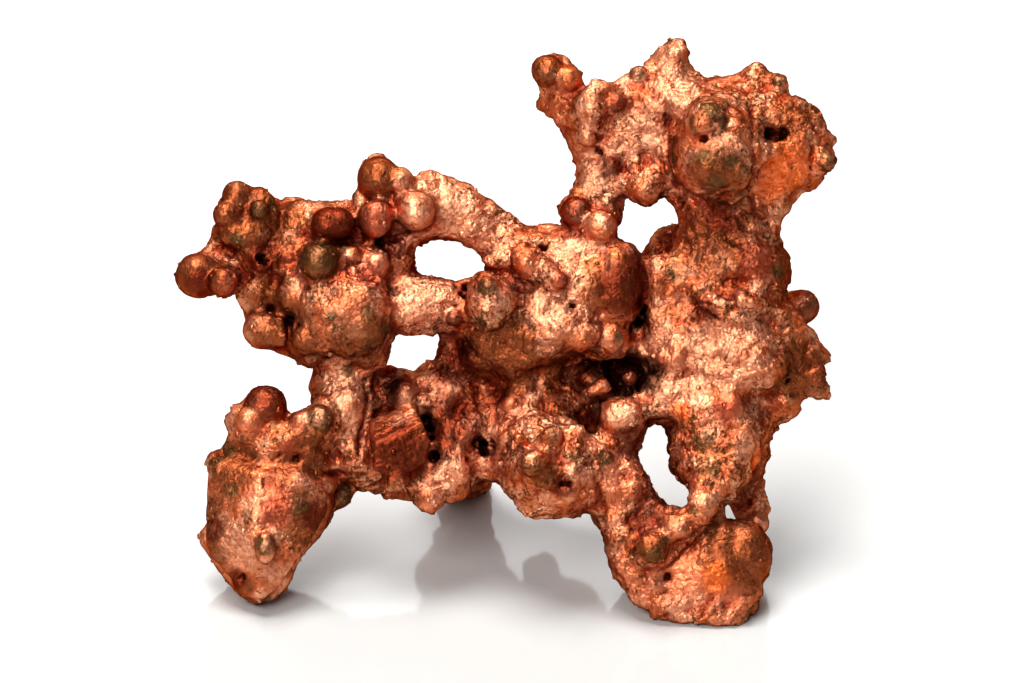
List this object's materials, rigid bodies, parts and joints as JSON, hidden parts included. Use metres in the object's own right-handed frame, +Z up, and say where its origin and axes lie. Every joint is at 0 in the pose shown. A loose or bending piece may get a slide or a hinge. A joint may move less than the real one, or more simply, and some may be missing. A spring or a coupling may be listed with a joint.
{
  "type": "native copper nugget",
  "caption": "Branching nugget of native copper with beaded tips, through gaps and a crumpled metallic skin, standing on three worn feet.",
  "frame": {"origin": "middle of the nugget's footprint box, on the floor it stands on", "axes": "+X to the right along its longest size, +Y away from the viewer of the picture, +Z up"},
  "size_m": [0.0412, 0.021, 0.0316],
  "materials": {
    "copper": null
  },
  "bodies": {
    "root": {"nugget": "copper"}
  },
  "joints": []
}
